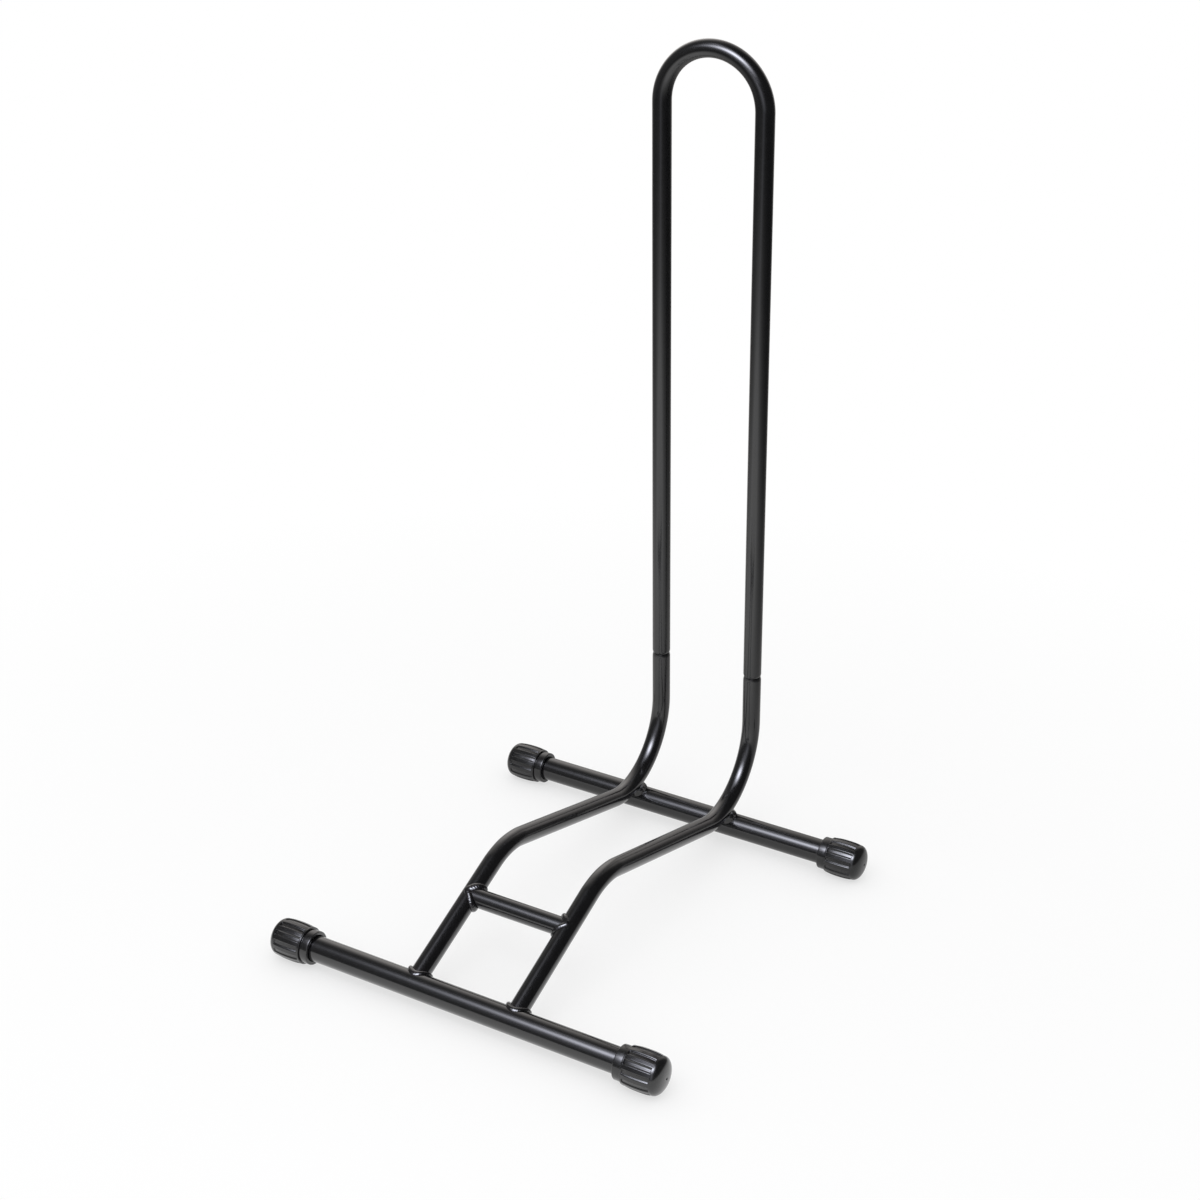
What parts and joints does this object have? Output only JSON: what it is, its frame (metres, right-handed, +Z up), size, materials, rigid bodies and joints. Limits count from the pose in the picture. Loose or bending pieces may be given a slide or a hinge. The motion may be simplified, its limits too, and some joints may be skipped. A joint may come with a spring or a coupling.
{
  "type": "bike stand",
  "caption": "Floor stand for a bicycle wheel: wavy tube base on cross bars with fluted rubber feet, and a tall lift-off hoop whose legs hold the wheel upright between them.",
  "frame": {"origin": "On the floor, under the middle of the stand's outline.", "axes": "+Z up. +Y runs from the front bar, where the wheel rolls in, to the hoop. +X runs along the cross bars, to the right as seen from the front."},
  "size_m": [0.4336, 0.5016, 0.8375],
  "materials": {
    "powder_coat": "satin black powder coat on steel tube",
    "coated_weld": "rippled weld bead under the same black coat",
    "spigot_steel": "bare drawn steel",
    "foot_rubber": "matte moulded rubber"
  },
  "bodies": {
    "base": {"front_bar": "powder_coat", "rear_bar": "powder_coat", "side_tube_left": "powder_coat", "side_tube_right": "powder_coat", "cross_brace": "powder_coat", "weld_front_left": "coated_weld", "weld_front_right": "coated_weld", "weld_brace_left": "coated_weld", "weld_brace_right": "coated_weld", "weld_rear_left_inner": "coated_weld", "weld_rear_left_outer": "coated_weld", "weld_rear_right_inner": "coated_weld", "weld_rear_right_outer": "coated_weld", "spigot_left": "spigot_steel", "spigot_right": "spigot_steel", "foot_front_left": "foot_rubber", "foot_front_right": "foot_rubber", "foot_rear_left": "foot_rubber", "foot_rear_right": "foot_rubber"},
    "hoop": {"hoop": "powder_coat"}
  },
  "joints": [
    {"name": "hoop_lift", "type": "slide", "parent": "base", "child": "hoop", "axis": [0, -0.0569, 0.9984], "range_m": [0, 0.055]}
  ]
}
